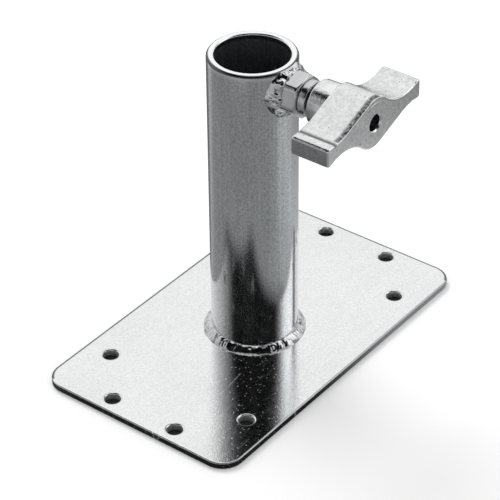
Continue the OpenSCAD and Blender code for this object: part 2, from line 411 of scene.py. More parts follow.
def grain_group():
    """Fine grain of worked metal, drawn out along one direction by its Stretch."""
    tree, start, end = new_tree(
        "Metal grain", "ShaderNodeTree",
        [("Vector", "Vector"), ("Stretch", "Vector", (1, 1, 1)), ("Size", "Float", 3000.0)],
        [("Fine", "Float"), ("Coarse", "Float"), ("Both", "Float")])
    drawn = add_node(tree, "ShaderNodeVectorMath", {
        0: start.outputs["Vector"], 1: start.outputs["Stretch"]}, operation="MULTIPLY").outputs[0]
    sizes = (start.outputs["Size"], times(tree, start.outputs["Size"], 0.23))
    layers = [noise_node(tree, drawn, size, detail, 0.6) for size, detail in zip(sizes, (3.0, 4.0))]
    both = times_plus(tree, layers[1], 0.5, times(tree, layers[0], 0.5))
    for label, value in zip(("Fine", "Coarse", "Both"), (*layers, both)):
        join(tree, value, end.inputs[label])
    return tree


def scratch_group():
    """Thin straight handling scratches in one direction, as a mask."""
    tree, start, end = new_tree(
        "Handling scratches", "ShaderNodeTree",
        [("Vector", "Vector"), ("Turn", "Float", 0.0), ("Size", "Float", 90.0), ("Width", "Float", 0.015)],
        [("Mask", "Float")])
    turned = add_node(tree, "ShaderNodeVectorRotate", {
        "Vector": start.outputs["Vector"], "Angle": start.outputs["Turn"]},
        rotation_type="Z_AXIS").outputs[0]
    drawn = add_node(tree, "ShaderNodeMapping", {"Vector": turned, "Scale": (0.06, 1.0, 0.06)}).outputs[0]
    off = math_node(tree, "ABSOLUTE", minus(tree, noise_node(tree, drawn, start.outputs["Size"], 1.0), 0.5))
    thin = minus(tree, 1.0, math_node(tree, "DIVIDE", off, start.outputs["Width"]))
    thin = math_node(tree, "MAXIMUM", thin, 0.0)
    broken = ramp(tree, noise_node(tree, turned, 60.0, 1.0), 0.56, 0.66)
    join(tree, times(tree, thin, broken), end.inputs["Mask"])
    return tree


def speck_group():
    """Small scattered specks, as a mask."""
    tree, start, end = new_tree(
        "Specks", "ShaderNodeTree",
        [("Vector", "Vector"), ("Size", "Float", 700.0), ("Share", "Float", 0.1),
         ("Radius", "Float", 0.25)],
        [("Mask", "Float")])
    cells = add_node(tree, "ShaderNodeTexVoronoi", {
        "Vector": start.outputs["Vector"], "Scale": start.outputs["Size"]}, feature="F1")
    chance = add_node(tree, "ShaderNodeSeparateColor", {0: cells.outputs["Color"]})
    chosen = math_node(tree, "LESS_THAN", chance.outputs[0], start.outputs["Share"])
    near = math_node(tree, "LESS_THAN", cells.outputs["Distance"],
                     times(tree, start.outputs["Radius"], chance.outputs[1]))
    join(tree, times(tree, chosen, near), end.inputs["Mask"])
    return tree


def shared_group(name):
    """A shared shader group, built the first time that a material asks for it."""
    builders = {"Metal grain": grain_group, "Handling scratches": scratch_group, "Specks": speck_group}
    return bpy.data.node_groups.get(name) or builders[name]()


def place_group(tree, name, vector, **values):
    """Places a shared group in a material, with its inputs named in small letters."""
    inputs = {"Vector": vector, **{key.title(): value for key, value in values.items()}}
    return add_node(tree, "ShaderNodeGroup", inputs, node_tree=shared_group(name)).outputs


def new_material(name, shader_kind, values):
    """A material of one shader: returns it with its tree, the shader and the object coordinates."""
    material = bpy.data.materials.new(name)
    material.use_nodes = True
    tree = material.node_tree
    tree.nodes.clear()
    shader = add_node(tree, shader_kind, values)
    add_node(tree, "ShaderNodeOutputMaterial", {"Surface": shader.outputs[0]})
    return material, tree, shader, add_node(tree, "ShaderNodeTexCoord").outputs["Object"]


def new_metal(name):
    """A bare metal for the builders below to work on."""
    return new_material(name, "ShaderNodeBsdfPrincipled", {"Metallic": 1.0})


def relief(tree, shader, *layers):
    """Stacks bump layers of (height socket, distance in metres, strength) on a shader."""
    last = None
    for height, distance, strength in layers:
        bump = add_node(tree, "ShaderNodeBump", {"Height": height, "Distance": distance,
                                                 "Strength": strength})
        if last:
            join(tree, last, bump.inputs["Normal"])
        last = bump.outputs["Normal"]
    join(tree, last, shader.inputs["Normal"])


def set_surface(tree, shader, tone, gloss, *layers):
    """Gives a shader its colour, its roughness and its bump layers."""
    join(tree, tone, shader.inputs["Base Color"])
    join(tree, gloss, shader.inputs["Roughness"])
    relief(tree, shader, *layers)


def shade(tree, base, factor, amount, spread=0.25):
    """Darkens a base colour where a 0..1 pattern is low, by the given amount."""
    level = ramp(tree, factor, 0.5 - spread, 0.5 + spread, 1.0 - amount, 1.0)
    grey = add_node(tree, "ShaderNodeCombineColor", {0: level, 1: level, 2: level})
    return blend_colours(tree, 1.0, base, grey.outputs[0], "MULTIPLY")


def darken(tree, base, mask, tint):
    """Multiplies a base colour by a dark tint where a mask is set."""
    return blend_colours(tree, mask, base, tint, "MULTIPLY")


def gloss_from(tree, grain, low, high):
    """Roughness between two values that follows the coarse grain."""
    return ramp(tree, grain["Coarse"], 0.3, 0.7, low, high)


def plate_metal(base):
    """Satin bright plate: rolled grain along its length, soft clouds, fine scratches and specks, with
    painted dark lines on its rims, sides and edges.
    """
    material, tree, shader, place = new_metal("satin plate steel")
    grain = place_group(tree, "Metal grain", place, stretch=(0.8, 1.0, 1.0), size=1800.0)
    rolled = place_group(tree, "Metal grain", place, stretch=(0.03, 1.0, 1.0), size=1800.0)
    clouds = noise_node(tree, place, 34.0, 3.0)
    marks = place_group(tree, "Handling scratches", place, turn=0.12, size=120.0, width=0.006)
    cross = place_group(tree, "Handling scratches", place, turn=-0.15, size=70.0, width=0.004)
    specks = place_group(tree, "Specks", place, size=1900.0, share=0.11, radius=0.44)
    rubbed = place_group(tree, "Metal grain", place, stretch=(0.08, 1.0, 1.0), size=520.0)
    scuffs = times(tree, ramp(tree, rubbed["Fine"], 0.52, 0.68), ramp(tree, clouds, 0.42, 0.58))
    wear, bored, dull = (vertex_mark(tree, name) for name in ("wear", "bored", "dull"))
    tone = shade(tree, base, grain["Fine"], 0.15, 0.18)
    tone = shade(tree, tone, rolled["Both"], 0.05)
    tone = shade(tree, tone, clouds, 0.04)
    scratches = math_node(tree, "MAXIMUM", marks["Mask"], cross["Mask"])
    tone = blend_colours(tree, times(tree, scratches, 0.5), tone, (0.95, 0.95, 0.95))
    # Edges, sides and hole rims lightened a little, partly as rubbed metal and partly as a painted
    # highlight.
    tone = blend_colours(tree, times(tree, wear, 0.35), tone, (0.9, 0.9, 0.9))
    # Painted shade and dark reflection: dark lines on the hole rims, the plate's sides, its front edge and
    # the edges turned from the camera.
    tone = darken(tree, tone, dull, (0.18, 0.18, 0.19))
    gloss = raised(tree, gloss_from(tree, grain, 0.07, 0.13), (specks["Mask"], 0.25), (scratches, 0.3),
                   (bored, 0.5), (wear, -0.05))
    bare = raised(tree, 1.0, (scuffs, -0.07), (specks["Mask"], -0.6), (scratches, -0.4))
    join(tree, bare, shader.inputs["Metallic"])
    set_surface(tree, shader, tone, gloss, (grain["Fine"], 0.035 * MM, 0.8),
                (rolled["Fine"], 0.004 * MM, 0.5), (scratches, 0.01 * MM, 0.5),
                (specks["Mask"], 0.008 * MM, 0.5))
    return material


def tube_metal(base):
    """Drawn tube: fine lines along its length, faint scratches and specks, painted shade in its bore, a
    painted highlight on its rim and a painted dark line round its outer lip.
    """
    material, tree, shader, place = new_metal("drawn tube steel")
    lines = place_group(tree, "Metal grain", place, stretch=(1.0, 1.0, 0.012), size=1500.0)
    grain = place_group(tree, "Metal grain", place, stretch=(1.0, 1.0, 0.7), size=1500.0)
    patches = noise_node(tree, place, 45.0, 4.0, 0.6)
    marks = place_group(tree, "Handling scratches", place, turn=0.7, size=80.0, width=0.004)
    specks = place_group(tree, "Specks", place, size=1500.0, share=0.05, radius=0.35)
    inside, rim, dull = (vertex_mark(tree, name) for name in ("inside", "rim", "dull"))
    tone = shade(tree, base, lines["Fine"], 0.14, 0.18)
    tone = shade(tree, tone, grain["Fine"], 0.30, 0.16)
    tone = shade(tree, tone, patches, 0.06)
    tone = blend_colours(tree, times(tree, marks["Mask"], 0.4), tone, (0.85, 0.85, 0.85))
    # Painted shade: the inside of the bore is darkened.
    tone = darken(tree, tone, inside, (0.62, 0.64, 0.65))
    # Painted highlight: the top of the rim is lightened.
    tone = blend_colours(tree, times(tree, rim, 0.85), tone, (0.98, 0.98, 0.98))
    # Painted dark reflection: a dark line round the rim's outer lip.
    tone = darken(tree, tone, dull, (0.10, 0.10, 0.11))
    gloss = raised(tree, gloss_from(tree, lines, 0.07, 0.13), (specks["Mask"], 0.2), (rim, -0.04),
                   (inside, 0.25))
    set_surface(tree, shader, tone, gloss, (lines["Fine"], 0.010 * MM, 0.7),
                (grain["Fine"], 0.032 * MM, 0.8), (specks["Mask"], 0.006 * MM, 0.6),
                (marks["Mask"], 0.01 * MM, 0.4))
    return material


def weld_metal(base):
    """Plated weld bead: glossy and lumpy, with fine spatter, and painted shade where its lumps sink."""
    material, tree, shader, place = new_metal("plated weld bead")
    lumps = noise_node(tree, place, 420.0, 3.0)
    grain = place_group(tree, "Metal grain", place, size=2400.0)
    spatter = place_group(tree, "Specks", place, size=900.0, share=0.12, radius=0.4)
    # Painted shade: where the lumps sink, the colour is darkened.
    hollow_shade = times(tree, ramp(tree, lumps, 0.43, 0.36), 0.75)
    tone = blend_colours(tree, hollow_shade, shade(tree, base, lumps, 0.22), (0.16, 0.17, 0.17))
    set_surface(tree, shader, tone, gloss_from(tree, grain, 0.08, 0.16), (lumps, 0.12 * MM, 0.7),
                (grain["Fine"], 0.008 * MM, 0.5), (spatter["Mask"], 0.012 * MM, 0.5))
    return material


def bright_metal(base):
    """Bright plated nut and ring: fine turning lines and small dents."""
    material, tree, shader, place = new_metal("bright plated hardware")
    lines = place_group(tree, "Metal grain", place, stretch=(0.1, 1.0, 0.1), size=2600.0)
    dents = noise_node(tree, place, 260.0, 2.0)
    specks = place_group(tree, "Specks", place, size=1000.0, share=0.06, radius=0.4)
    tone = shade(tree, shade(tree, base, lines["Both"], 0.14), dents, 0.10)
    set_surface(tree, shader, tone, gloss_from(tree, lines, 0.10, 0.20), (dents, 0.10 * MM, 0.5),
                (lines["Both"], 0.008 * MM, 0.5), (specks["Mask"], 0.01 * MM, 0.5))
    return material


def screw_metal(base):
    """Plated thread: rougher in its grooves, and darker there by painted shade."""
    material, tree, shader, place = new_metal("plated screw thread")
    grain = place_group(tree, "Metal grain", place, size=2600.0)
    crest = vertex_mark(tree, "crest")
    tone = shade(tree, base, grain["Both"], 0.18)
    # Painted shade in the thread's grooves.
    tone = darken(tree, tone, minus(tree, 1.0, crest), (0.5, 0.5, 0.5))
    gloss = ramp(tree, crest, 0.0, 1.0, 0.42, 0.22)
    set_surface(tree, shader, tone, gloss, (grain["Both"], 0.008 * MM, 0.6))
    return material


def cast_metal(base):
    """Plated casting: sandy grain with tiny dark pits, edges lightened as rubbed metal and as a painted
    highlight, and painted shade in its hole, furrow, left end and along its upper front edge.
    """
    material, tree, shader, place = new_metal("plated handle casting")
    grain = place_group(tree, "Metal grain", place, size=2200.0)
    lumps = noise_node(tree, place, 700.0, 4.0, 0.65)
    pits = place_group(tree, "Specks", place, size=1500.0, share=0.09, radius=0.4)
    wear, bored = (vertex_mark(tree, name) for name in ("wear", "bored"))
    tone = shade(tree, base, grain["Both"], 0.26, 0.16)
    tone = shade(tree, tone, lumps, 0.12, 0.16)
    tone = blend_colours(tree, times(tree, pits["Mask"], 0.75), tone, (0.12, 0.12, 0.12))
    # Painted highlight, with rubbed metal: the casting's edges are lightened.
    tone = blend_colours(tree, times(tree, wear, 0.7), tone, (0.97, 0.97, 0.97))
    # Painted shade: the hole, the furrow, the left end and a line along the upper front edge are darkened.
    tone = darken(tree, tone, bored, (0.07, 0.07, 0.075))
    gloss = raised(tree, gloss_from(tree, grain, 0.08, 0.17), (wear, -0.08))
    set_surface(tree, shader, tone, gloss, (lumps, 0.13 * MM, 0.8), (grain["Fine"], 0.03 * MM, 0.8),
                (minus(tree, 1.0, pits["Mask"]), 0.02 * MM, 0.6))
    return material


# ---------------------------------------------------------------- plate

def plate_outline(plate, inset, steps=24):
    """The plate's outline drawn in by inset, counter-clockwise."""
    half_length, half_width, radius = (size - inset for size in (*PLATE_HIGH[:2], plate.corner_radius))
    points = []
    for turn, (sx, sy) in enumerate(((1, 1), (-1, 1), (-1, -1), (1, -1))):
        points += arc((sx * (half_length - radius), sy * (half_width - radius)), radius,
                      90 * turn, 90 * turn + 90, steps)
    return points


def plate_sheet(plate, holes):
    """The plate with its rounded border and plain round openings for the punched rims."""
    edge, border = plate.edge_radius, 0.5 * MM
    stack = [(edge + RIM_MARGIN + border, PLATE_TOP), (edge + RIM_MARGIN, PLATE_TOP)]
    stack += [(edge - d, h) for d, h in arc((0, PLATE_TOP - edge), edge, 90, 0, 8)]
    stack += [(edge - d, h) for d, h in arc((0, edge), edge, 0, -90, 8)]
    stack += [(edge + RIM_MARGIN, 0), (edge + RIM_MARGIN + border, 0)]
    work = bmesh.new()
    add_rings(work, [[(x, y, h) for x, y in plate_outline(plate, inset)] for inset, h in stack])
    rim = plate.hole_radius + plate.hole_roll + RIM_MARGIN
    for height in (PLATE_TOP, 0):
        add_flat(work, plate_outline(plate, stack[0][0]), [(x, y, rim, RIM_STEPS) for x, y in holes], height)
    return tidy_mesh(work, "plate_sheet", recalculate=False)


def hole_rim(plate):
    """One punched hole: its rolled upper rim, its wall and the sharp lower edge."""
    radius, roll, burr = plate.hole_radius, plate.hole_roll, 0.12 * MM
    profile = [(radius + roll + RIM_MARGIN, PLATE_TOP), (radius + roll, PLATE_TOP)]
    profile += arc((radius + roll, PLATE_TOP - roll), roll, 90, 180, 8)[1:]
    profile += [(radius, burr), (radius + burr * 0.3, burr * 0.3), (radius + burr, 0),
                (radius + roll + RIM_MARGIN, 0)]
    work = bmesh.new()
    add_rings(work, lathe_rings(profile, RIM_STEPS))
    return tidy_mesh(work, "hole_rim", recalculate=False)


def finish_tree(tree, start, end, shape):
    """Ends a Geometry Nodes tree: one real mesh with closed seams, in the tree's material."""
    real = add_node(tree, "GeometryNodeRealizeInstances", {0: shape})
    closed = add_node(tree, "GeometryNodeMergeByDistance", {"Geometry": real.outputs[0], "Distance": SEAM})
    finish = add_node(tree, "GeometryNodeSetMaterial", {
        "Geometry": closed.outputs[0], "Material": start.outputs["Material"]})
    join(tree, finish.outputs[0], end.inputs[0])


def punching_tree():
    """Geometry Nodes that set a punched rim at the corners of two rectangles on the plate."""
    tree, start, end = new_tree(
        "Punched holes", "GeometryNodeTree",
        [("Sheet", "Geometry"), ("Rim", "Object"), ("End reach", "Float"), ("End side", "Float"),
         ("Side reach", "Float"), ("Side side", "Float"), ("Material", "Material")],
        [("Plate", "Geometry")])
    rim = add_node(tree, "GeometryNodeObjectInfo", {"Object": start.outputs["Rim"]})
    together = tree.nodes.new("GeometryNodeJoinGeometry")
    for reach, side in (("End reach", "End side"), ("Side reach", "Side side")):
        grid = add_node(tree, "GeometryNodeMeshGrid", {
            "Size X": times(tree, start.outputs[reach], 2.0),
            "Size Y": times(tree, start.outputs[side], 2.0), "Vertices X": 2, "Vertices Y": 2})
        placed = add_node(tree, "GeometryNodeInstanceOnPoints", {
            "Points": grid.outputs["Mesh"], "Instance": rim.outputs["Geometry"]})
        join(tree, placed.outputs["Instances"], together.inputs[0])
    join(tree, start.outputs["Sheet"], together.inputs[0])
    finish_tree(tree, start, end, together.outputs[0])
    return tree


def add_nodes(piece, tree, values):
    """Puts a Geometry Nodes tree on a piece with its inputs set by their identifiers."""
    modifier = piece.modifiers.new(tree.name, "NODES")
    modifier.node_group = tree
    for item in tree.interface.items_tree:
        if item.item_type == "SOCKET" and item.in_out == "INPUT" and item.name in values:
            modifier[item.identifier] = values[item.name]


def face_outward(mesh):
    """Closes a mesh's seams and points its faces outward."""
    work = bmesh.new()
    work.from_mesh(mesh)
    bmesh.ops.remove_doubles(work, verts=work.verts, dist=SEAM)
    bmesh.ops.recalc_face_normals(work, faces=work.faces)
    write_mesh(work, mesh)


def border_at(plate, point):
    """How far a point lies inside the plate's outline, and which way the outline faces there."""
    radius = plate.corner_radius
    out = Vector([c - max(radius - high, min(high - radius, c)) for c, high in zip(point[:2], PLATE_HIGH)])
    return radius - out.length, out.normalized()


def build_plate(settings):
    """The satin plate with its eight punched holes."""
    plate = settings.plate
    places = [(sx * x, sy * y) for x, y in ((plate.end_reach, plate.end_side),
                                            (plate.side_reach, plate.side_side))
              for sx in (-1, 1) for sy in (-1, 1)]
    metal = plate_metal(plate.base)
    piece = new_object("plate_with_holes", plate_sheet(plate, places))
    rim = new_object("hole_rim", hole_rim(plate))
    add_nodes(piece, punching_tree(), {
        "Rim": rim, "End reach": plate.end_reach, "End side": plate.end_side,
        "Side reach": plate.side_reach, "Side side": plate.side_side, "Material": metal})
    mesh = settle(piece)
    bpy.data.objects.remove(rim)
    face_outward(mesh)
    flat, deep = 0.02 * MM, PLATE_TOP - 0.9 * plate.hole_roll
    rim_at, line = plate.hole_radius + plate.hole_roll, plate.edge_radius + 0.3 * MM
    # How dark each place is painted, as shade and dark reflection: the hole rims, the sides, the front edge
    # rounding, and the edges turned from the camera.
    rim_shade, side_shade, front_shade = 0.35, 0.7, 0.55
    edge_lightening, bored, dull = [], [], []
    for v in mesh.vertices:
        near = min(math.hypot(v.co.x - x, v.co.y - y) for x, y in places)
        inside = near < plate.hole_radius + flat
        on_face = abs(v.co.z - PLATE_TOP) < flat or abs(v.co.z) < flat
        to_edge, out = border_at(plate, v.co)
        on_side = near > 2 * rim_at and v.co.z < PLATE_TOP - 0.9 * plate.edge_radius
        edge_lightening.append(0.0 if on_face or inside else 1.0)
        bored.append(1.0 if inside and v.co.z < deep else 0.0)
        dull.append(max(rim_shade * (abs(near - rim_at) < flat), side_shade * on_side,
                        front_shade * (to_edge < plate.edge_radius and out.y < -0.95),
                        float(to_edge < line and out.dot(TOWARDS_CAMERA[:2]) < 0.3)))
    for name, values in (("wear", edge_lightening), ("bored", bored), ("dull", dull)):
        mark(mesh, name, values)
    finish_piece(piece, "socket", "plate_steel", metal, "base_plate")


# ---------------------------------------------------------------- tube

def build_tube(settings):
    """The drawn tube with its rounded rim and the hole that the clamp screw passes."""
    tube = settings.tube
    outer, inner = TUBE_RADIUS, TUBE_RADIUS - tube.wall
    steps, half_patch = 192, 18
    middle = steps * 3 // 4
    hole, hole_steps = tube.screw_hole, 72
    reach, slack = 1.35 * hole, 0.1 * MM
    patch_low, patch_high = SCREW_HEIGHT - reach, SCREW_HEIGHT + reach
    work = bmesh.new()

    def wall(radius, rows):
        """One side of the wall in rows of faces, left open where the patch goes."""
        for low, high in zip(rows, rows[1:]):
            in_patch = low > patch_low - slack and high < patch_high + slack
            for i in range(steps):
                if in_patch and middle - half_patch <= i < middle + half_patch:
                    continue
                corners = [(2 * math.pi * k / steps, z)
                           for k, z in ((i, low), (i + 1, low), (i + 1, high), (i, high))]
                work.faces.new([work.verts.new(polar(radius, t, z)) for t, z in corners])

    def opening(radius):
        """Rim of the screw hole on the wall, in [turn, height] pairs and as points."""
        flat, solid = [], []
        for x, dz in arc((0, 0), hole, 0, 360, hole_steps)[:-1]:
            turn = SCREW_TURN + math.asin(x / radius)
            flat.append((turn, SCREW_HEIGHT + dz))
            solid.append((x, -math.sqrt(radius ** 2 - x ** 2), SCREW_HEIGHT + dz))
        return flat, solid

    def patch(radius):
        """The wall round the screw hole, filled on the unrolled surface and rolled up again."""
        turns = [2 * math.pi * k / steps for k in range(middle - half_patch, middle + half_patch + 1)]
        border = [(t, patch_low) for t in turns] + [(t, patch_high) for t in reversed(turns)]
        rim, solid = opening(radius)
        points = [Vector(((t - SCREW_TURN) * radius, z - SCREW_HEIGHT)) for t, z in border + rim]
        count = len(border)
        edges = [(i, (i + 1) % count) for i in range(count)]
        edges += [(count + i, count + (i + 1) % hole_steps) for i in range(hole_steps)]
        fill(work, points, edges, lambda p: polar(radius, SCREW_TURN + p[0] / radius, p[1] + SCREW_HEIGHT),
             lambda middle: math.hypot(radius * math.sin(middle[0] / radius), middle[1]) > hole * 0.999)
        return solid

    rows = [PLATE_TOP, PLATE_TOP + 6 * MM, 40 * MM, 70 * MM, 100 * MM, patch_low, patch_high,
            TUBE_TOP - 1.6 * MM]
    wall(outer, rows + [TUBE_TOP - tube.rim_outer])
    wall(inner, rows + [TUBE_TOP - tube.rim_inner])
    add_rings(work, [patch(outer), patch(inner)])
    rim = arc((outer - tube.rim_outer, TUBE_TOP - tube.rim_outer), tube.rim_outer, 0, 90, 8)
    rim += arc((inner + tube.rim_inner, TUBE_TOP - tube.rim_inner), tube.rim_inner, 90, 180, 8)
    add_rings(work, lathe_rings(rim, steps))
    add_rings(work, lathe_rings([(outer, PLATE_TOP), (inner, PLATE_TOP)], steps))
    mesh = tidy_mesh(work, "drawn_tube", merge=0.004 * MM)
    deep = TUBE_TOP - 2 * tube.rim_inner
    lip, above = outer - 0.95 * MM, TUBE_TOP - 1.65 * MM
    spots = [(math.hypot(v.co.x, v.co.y), v.co.z) for v in mesh.vertices]
    on_lip = [r > lip and z > TUBE_TOP - 0.95 * tube.rim_outer for r, z in spots]
    # The bore's inside, for its painted shade.
    mark(mesh, "inside", [float(r < inner + slack and z < deep) for r, z in spots])
    # The rim's top, for its painted highlight.
    mark(mesh, "rim", [float(z > above and not dark) for dark, (_, z) in zip(on_lip, spots)])
    # The outer lip, for its painted dark line.
    mark(mesh, "dull", [0.9 * dark for dark in on_lip])
    mesh.set_sharp_from_angle(angle=math.radians(50))
    piece = new_object("drawn_tube", mesh)
    finish_piece(piece, "socket", "tube_steel", tube_metal(tube.base), "socket_tube")


# ---------------------------------------------------------------- welds

# Turns in degrees at which the welder stopped and started again.
FOOT_STOPS = (52, 142, 179, 240, 318)
NUT_STOPS = (20, 75, 140, 178, 235, 300)


def gap_between(a, b):
    """Smaller angle between two directions, in degrees."""
    d = abs(a - b) % 360
    return min(d, 360 - d)


def bead_swell(a, ripples, stops, share, lump=0.22):
    """Swell of a bead at angle a: even ripples, and a lump where the welder stopped."""
    lumps = sum(math.exp(-(gap_between(a, b) / 5) ** 2) for b in stops)
    return 1 + share * math.sin(math.radians(ripples * a)) + lump * lumps


def bead_side(toe, top, power, steps):
    """Outer side of a bead's section, from its toe on the base up to its toe on the wall."""
    turns = [math.pi / 2 * i / steps for i in range(steps + 1)]
    return [(top[0] + (toe[0] - top[0]) * math.cos(t) ** power,
             toe[1] + (top[1] - toe[1]) * math.sin(t) ** power) for t in turns]


def foot_bead(weld):
    """The fillet round the tube's foot, with curved ripples and round swirls at the stops."""
    steps, side_steps = 720, 22
    ripples, waves, wave_lift = 28, 84, 0.012
    slim_at, slim_spread, slim_share = 222, 36, 0.2
    swirl_length, swirl_size, swirl_pitch, swirl_lift = 4.4 * MM, 1.9 * MM, 0.21 * MM, 0.13
    root = TUBE_RADIUS + WELD_CLEARANCE
    rings = []
    for i in range(steps):
        a = 360 * i / steps
        turn = math.radians(a)
        leg = weld.foot_leg * bead_swell(a, ripples, FOOT_STOPS, weld.ripple, 0.07)
        leg *= 1 - slim_share * math.exp(-(gap_between(a, slim_at) / slim_spread) ** 2)
        section = bead_side((root + leg, PLATE_TOP), (root, PLATE_TOP + leg), 1.6, side_steps)
        ring = [polar(root, turn, PLATE_TOP)]
        for j, (r, z) in enumerate(section):
            t = j / side_steps
            fade = math.sin(math.pi * t)
            wave = math.sin(math.radians(waves * (a + 5 * (t - 0.5) ** 2)))
            swirl = 0.0
            for stop in FOOT_STOPS:
                away = math.hypot(math.radians(gap_between(a, stop)) * r, (t - 0.5) * swirl_length)
                swirl += math.exp(-(away / swirl_size) ** 2) * math.cos(away / swirl_pitch)
            lift = fade * (wave_lift * wave + swirl_lift * swirl) * MM
            spot = Vector(polar(1, turn, t / 6))
            lift += fade * MM * (0.12 * noise.noise(9 * spot) + 0.13 * noise.noise(21 * spot))
            slope = math.atan2(z - PLATE_TOP + 0.3 * MM, r - root + 0.3 * MM)
            ring.append(polar(r + lift * math.cos(slope), turn, z + lift * math.sin(slope)))
        rings.append(ring)
    return ring_solid("foot_bead", rings)


def nut_bead(weld, hardware):
    """The bead round the nut's root, on the tube's round wall."""
    steps, side_steps, base_steps = 540, 18, 5
    ripples, waves, wave_lift, lump_size, lump_lift, push = 20, 60, 0.012, 1.9 * MM, 0.55, 0.7
    half_flats = hardware.nut_flats / 2
    corner = half_flats / math.cos(math.radians(30))
    rim_round = 1.2 * MM
    drop = TUBE_TOP - SCREW_HEIGHT
    station = -NUT_HIGH[1]
    turn = math.degrees(hardware.nut_turn)

    def wall_at(rho, a):
        """Distance of the tube's round wall from its axis, along the screw."""
        past = max(0.0, rho * math.sin(a) - drop + rim_round)
        radius = TUBE_RADIUS - rim_round + math.sqrt(max(0.0, rim_round ** 2 - past ** 2))
        return math.sqrt(radius ** 2 - (rho * math.cos(a)) ** 2) + WELD_CLEARANCE

    rings = []
    for i in range(steps):
        degrees = turn + 360 * i / steps
        a = math.radians(degrees)
        swell = bead_swell(degrees, ripples, NUT_STOPS, weld.ripple)
        root = half_flats / math.cos(math.radians((degrees - turn) % 60 - 30)) + WELD_CLEARANCE
        reach = corner + weld.nut_leg * swell
        if math.sin(a) > 0:
            reach = min(reach, (drop - 0.3 * MM) / math.sin(a))
        top = station + weld.nut_climb * swell
        base = [root + (reach - root) * k / base_steps for k in range(base_steps)]
        section = [(rho, wall_at(rho, a)) for rho in base]
        for k, (rho, z) in enumerate(bead_side((reach, wall_at(reach, a)), (root, top), 1.2, side_steps)):
            t = k / side_steps
            fade = math.sin(math.pi * t)
            lump = noise.noise(Vector(polar(rho, a, z)) / lump_size)
            wave = math.sin(math.radians(waves * (degrees + 6 * (t - 0.5) ** 2)))
            lift = fade * MM * (wave_lift * wave + lump_lift * lump)
            section.append((rho + lift * push, z + lift * push))
        rings.append([on_screw(polar(rho, a, z), 0) for rho, z in section])
    return ring_solid("nut_bead", rings)


def build_welds(settings):
    """Both weld beads."""
    metal = weld_metal(settings.weld.base)
    foot = new_object("foot_bead", foot_bead(settings.weld))
    finish_piece(foot, "socket", "weld_metal", metal, "foot_weld")
    nut = new_object("nut_bead", nut_bead(settings.weld, settings.hardware))
    finish_piece(nut, "socket", "weld_metal", metal, "nut_weld")


# ---------------------------------------------------------------- nut, ring and screw

def soft_least(a, b, blend):
    """The smaller of two lengths, rounded where they meet."""
    h = max(blend - abs(a - b), 0.0) / blend
    return min(a, b) - h * h * blend / 4


def nut_mesh(hardware):
    """The hexagon nut with bevelled corners and softened edges."""
    steps, rows = 360, 26
    height = NUT_HIGH[1] - NUT_LOW[1]
    half = hardware.nut_flats / 2
    face = 0.95 * half
    soft = 0.35 * MM
    turn = math.degrees(hardware.nut_turn)

    def radius_at(degrees, up):
        """Distance of the nut's side from its axis, cut by the rounded corners and the two cones."""
        flat = half / math.cos(math.radians((degrees - turn) % 60 - 30))
        corner = half / math.cos(math.radians(30)) - 0.4 * MM
        cone = face + min(up, height - up) / math.tan(math.radians(30))
        return soft_least(soft_least(flat, corner, soft), cone, soft)

    levels = [0.5 * height * (1 - math.cos(math.pi * k / rows)) for k in range(rows + 1)]
    seat, bevel = hardware.seat_radius, 0.4 * MM
    inner = [(seat, bevel), (seat + bevel, 0.0), (0.92 * face, 0.0), (0.97 * face, 0.0)]
    outer = [(r, height - z) for r, z in reversed(inner)]
    rings = [[(r, d, z) for d in range(steps)] for r, z in inner]
    rings += [[(radius_at(d, level), d, level) for d in range(steps)] for level in levels]
    rings += [[(r, d, z) for d in range(steps)] for r, z in outer]
    solid = [[on_screw(polar(r, math.radians(d), z), -NUT_HIGH[1]) for r, d, z in ring] for ring in rings]
    return ring_solid("hexagon_nut", solid, sharp=40)


def ring_mesh(hardware):
    """The loose ring with rounded edges and a small bevel at its bore."""
    height = RING_HIGH[1] - RING_LOW[1]
    seat, round_r, bevel = hardware.seat_radius, hardware.ring_round, 0.35 * MM
    shoulder = RING_HIGH[0] - round_r
    flat_to = shoulder - 0.2 * MM
    profile = [(seat, bevel), (seat + bevel, 0), (flat_to, 0)]
    profile += arc((shoulder, round_r), round_r, -90, 0, 8)
    profile += arc((shoulder, height - round_r), round_r, 0, 90, 8)
    profile += [(flat_to, height), (seat + bevel, height), (seat, height - bevel)]
    return ring_solid("spacer", screw_rings(profile, 160, -RING_HIGH[1]), sharp=50)


